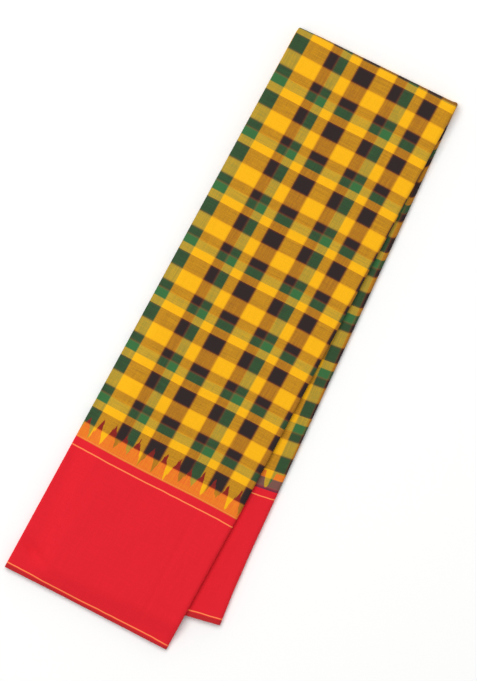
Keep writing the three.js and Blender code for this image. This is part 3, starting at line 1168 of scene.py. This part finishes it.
print("thin lines at", (JOINT_LINE, FIRST_LINE, SECOND_LINE), "mm below the joint")

# %% [markdown]
# ## The cloth's finish
# A material is built from these parts. The shader is the same for body and border: a soft cloth
# with a little sheen, because the silk threads catch light at a low angle, and a fine bump from the
# weave. Swollen threads and specks are a little brighter too. Rows above zero lie on the upper half.

# %% Cloth material
SHEEN = 0.015
SHEEN_ROUGHNESS = 0.4
ROUGHNESS = 0.8
SPECULAR = 0.08
WEAVE_HEIGHT = 0.05
STREAK_HEIGHT = 1.5
BUMP_STRENGTH = 0.6
SPECK_SHINE = 1.5
SHINE_STRENGTH = 0.12
UPPER_ROWS = (0.0, 10.0)


def empty_material(name):
    material = bpy.data.materials.new(name)
    material.use_nodes = True
    material.node_tree.nodes.clear()
    return material


def finish_cloth(tree, colour, waves, streaks):
    height = add(tree, "Math", streaks, STREAK_HEIGHT, waves, operation="MULTIPLY_ADD")
    bump = add(tree, "Bump", named={
        "Height": height, "Distance": WEAVE_HEIGHT * MM, "Strength": BUMP_STRENGTH,
    })
    shader = add(tree, "BsdfPrincipled", named={
        "Base Color": colour, "Roughness": ROUGHNESS, "Sheen Weight": SHEEN,
        "Sheen Roughness": SHEEN_ROUGHNESS, "Specular IOR Level": SPECULAR, "Normal": bump,
    })
    add(tree, "OutputMaterial", shader)


def woven_cloth(name, with_body):
    material = empty_material(name)
    tree = material.node_tree
    column, row = cloth_measures(tree)
    at = {
        "column": column,
        "row": row,
        "above": above_joint(tree, row),
        "on_upper": add(tree, "MapRange", row, *UPPER_ROWS, **SOFT_STEP),
        "waves": thread_waves(tree, column, row),
        "warp_slub": unevenness(tree, row, column, SLUB, WARP_SEED),
        "weft_slub": unevenness(tree, column, row, SLUB, WEFT_SEED),
        "specks": unevenness(tree, column, row, SPECKLE, SPECKLE_SEED),
    }
    warp, weft, rust, dark_pair, red_lead = RED, RED, 0.0, 0.0, 0.0
    if with_body:
        warp, weft, rust, dark_pair, red_lead = body_threads(tree, at)
    share = weft_share(tree, at, dark_pair, red_lead)
    colour = add(tree, "Mix", share, warp, weft, data_type="RGBA")
    colour = add(tree, "Mix", rust, colour, RUST, data_type="RGBA")
    colour = border_lines(tree, at, colour)
    streaks = add(tree, "Math", at["warp_slub"], at["weft_slub"], operation="ADD")
    shine = add(tree, "Math", at["specks"], SPECK_SHINE, streaks, operation="MULTIPLY_ADD")
    shine = add(tree, "Math", shine, SHINE_STRENGTH, operation="MULTIPLY")
    brightness = add(tree, "Math", shine, 1.0, operation="ADD")
    colour = add(tree, "VectorMath", colour, brightness, operation="SCALE")
    finish_cloth(tree, colour, at["waves"], streaks)
    return material


checked_cloth = woven_cloth("checked_handloom_silk_cotton", True)
red_cloth = woven_cloth("red_border_silk_cotton", False)
layered_cloth = woven_cloth("folded_handloom_silk_cotton", True)
print("materials:", [m.name for m in (checked_cloth, red_cloth, layered_cloth)])

# %% [markdown]
# ## Dress the pieces
# Each piece rides on the part's one body, stands for its solid, which is hidden, and takes its
# finish. The flat size it has on the loom is printed. That size comes from the path round the
# folds, the strip's width and the length of the stretch, in mm.

# %% Dress
UPPER_BODY = {"width": 177.5, "length": 460.0}
UPPER_BORDER = {"width": 179.0, "length": 149.0}
CROSS_FOLD = {"width": 176.6, "length": float(OUTER_ARC)}
LOWER_BODY = {"width": 176.0, "length": 423.0}
LOWER_BORDER = {"width": 175.5, "length": 142.0}
CLOTH_WIDTH = 1200.0

run_size = (round(CLOTH_WIDTH * MM, 4), round(float(np.ptp(hidden_run)) * MM, 4))
dressing = [
    (upper_body, "upper_body_panel", checked_cloth, "checked_body",
     cut_size(outer_path, **UPPER_BODY), "folded_layers_cloth"),
    (upper_border, "upper_border_panel", red_cloth, "red_border",
     cut_size(border_path, **UPPER_BORDER), "folded_layers_cloth"),
    (cross_fold, "cross_fold_panel", checked_cloth, "checked_body",
     cut_size(outer_path, **CROSS_FOLD), "folded_layers_cloth"),
    (lower_body, "lower_body_panel", checked_cloth, "checked_body",
     cut_size(inner_path, **LOWER_BODY), "folded_layers_cloth"),
    (lower_border, "lower_border_panel", red_cloth, "red_border",
     cut_size(inner_path, **LOWER_BORDER), "folded_layers_cloth"),
    (under_body, "under_body_panel", checked_cloth, "checked_body",
     cut_size(under_path, **LOWER_BODY), "table"),
    (under_border, "under_border_panel", red_cloth, "red_border",
     cut_size(under_path, **LOWER_BORDER), "table"),
    (hidden, "folded_layers", layered_cloth, "folded_layers", run_size, "under_body_cloth"),
]
for piece, node, material, slot, flat, under in dressing:
    piece.data.materials.clear()
    piece.data.materials.append(material)
    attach(piece, "root")
    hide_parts(node)
    print(piece.name, "cut", flat)

# %% [markdown]
# ## Floor
# A plain pale table top, a hair below the cloth so that the two never share a face. Its paint is
# matt, with a very shallow grain of 6.7 mm that breaks up the light, 900 grains to a side.

# %% Floor
FLOOR_SIZE = 6.0
FLOOR_CLEARANCE = 0.0002
FLOOR_COLOUR = dye("F8F8F7")
GRAINS_PER_SIDE = 900.0
GRAIN_HEIGHT = 0.00002

deselect_all()
bpy.ops.mesh.primitive_plane_add(size=FLOOR_SIZE, location=(0, 0, -FLOOR_CLEARANCE))
floor = bpy.context.object
floor.name = "table"
bpy.ops.object.transform_apply(location=True, rotation=True, scale=True)
paint = empty_material("white_painted_table")
grain = add(paint.node_tree, "TexNoise", named={"Scale": GRAINS_PER_SIDE, "Detail": 2.0})
floor_bump = add(paint.node_tree, "Bump", named={
    "Height": grain, "Distance": GRAIN_HEIGHT, "Strength": 0.3,
})
floor_shader = add(paint.node_tree, "BsdfPrincipled", named={
    "Base Color": FLOOR_COLOUR, "Roughness": 0.9, "Specular IOR Level": 0.1, "Normal": floor_bump,
})
add(paint.node_tree, "OutputMaterial", floor_shader)
floor.data.materials.append(paint)
print("floor", FLOOR_SIZE, "m square")

# %% [markdown]
# ## Light
# The photo has almost no shadow: a big soft box hangs overhead, a little to the upper left of the
# picture, white walls stand all round, and the ceiling above them gives a little less light.

# %% Light
SOFT_BOX_SIZE = 2.9
SOFT_BOX_HEIGHT = 3.85
SOFT_BOX_POWER = 134.0
SOFT_BOX_SHIFT = (-1.12, 0.56)
CEILING = 0.38
WALLS = 0.85
WALL_TOP, CEILING_START = 0.2, 0.45

box_data = bpy.data.lights.new("soft_box", "AREA")
box_data.shape = "SQUARE"
box_data.size = SOFT_BOX_SIZE
box_data.energy = SOFT_BOX_POWER
soft_box = bpy.data.objects.new("soft_box", box_data)
soft_box.location = (SOFT_BOX_SHIFT[0], SOFT_BOX_SHIFT[1], SOFT_BOX_HEIGHT)
soft_box.rotation_euler = (
    -math.atan2(SOFT_BOX_SHIFT[1], SOFT_BOX_HEIGHT),
    math.atan2(SOFT_BOX_SHIFT[0], SOFT_BOX_HEIGHT),
    0,
)
soft_box.visible_camera = False
bpy.context.scene.collection.objects.link(soft_box)

world = bpy.data.worlds.new("studio")
world.use_nodes = True
room = world.node_tree
direction = add(room, "TexCoord").outputs["Generated"]
upward = add(room, "SeparateXYZ", direction).outputs["Z"]
ceiling_share = add(room, "MapRange", upward, WALL_TOP, CEILING_START, **SOFT_STEP)
brightness = add(room, "Math", ceiling_share, CEILING - WALLS, WALLS, operation="MULTIPLY_ADD")
backdrop = room.nodes["Background"]
room.links.new(brightness.outputs[0], backdrop.inputs["Strength"])
backdrop.inputs["Color"].default_value = (1, 1, 1, 1)
bpy.context.scene.world = world
bpy.context.scene.view_settings.view_transform = "Standard"
print("soft box", SOFT_BOX_POWER, "W, walls", WALLS, "ceiling", CEILING)
